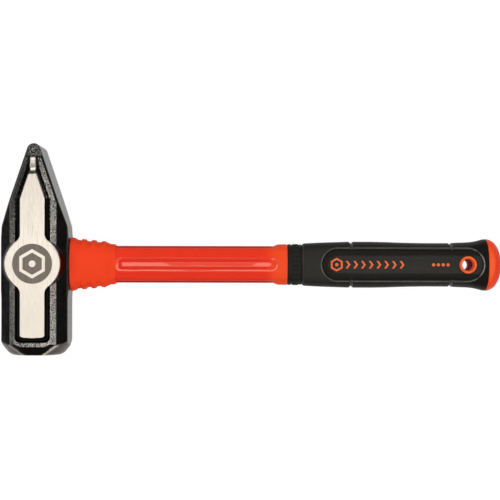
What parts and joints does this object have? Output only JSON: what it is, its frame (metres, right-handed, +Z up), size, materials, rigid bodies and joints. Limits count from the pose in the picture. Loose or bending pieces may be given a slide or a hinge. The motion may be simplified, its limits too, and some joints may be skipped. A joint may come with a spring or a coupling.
{
  "type": "cross peen hammer",
  "caption": "Heavy cross peen hammer: forged head with a round striking face and a wedge peen across a moulded, rubber-gripped fibreglass handle.",
  "frame": {"origin": "bottom centre of the whole hammer's bounding box, with the hammer lying on the ground pads of one cheek of its head", "axes": "+X along the handle from the head to the butt, +Y across the handle from the striking face to the peen, +Z up out of the upper cheek"},
  "size_m": [0.3672, 0.1544, 0.047],
  "materials": {
    "forged_steel": "black forged steel, semi-gloss, with brushed bright cheek pads and a ground face chamfer",
    "epoxy": "dark cast epoxy, slightly glossy",
    "glass_fibre": "pultruded glass fibre, cut end",
    "orange_matte": "orange moulded plastic, fine matte grain",
    "orange_gloss": "orange moulded plastic, semi-gloss",
    "black_rubber": "black thermoplastic rubber, fine matte grain"
  },
  "bodies": {
    "root": {"hammer_head": "forged_steel", "eye_resin": "epoxy", "fibreglass_core": "glass_fibre", "overstrike_guard": "orange_matte", "handle_jacket": "orange_gloss", "grip_nose_ring": "black_rubber", "grip_sleeve": "black_rubber", "grip_panel_top": "black_rubber", "grip_panel_bottom": "black_rubber", "hang_hole_bush": "orange_gloss", "butt_cap": "orange_matte"}
  },
  "joints": []
}
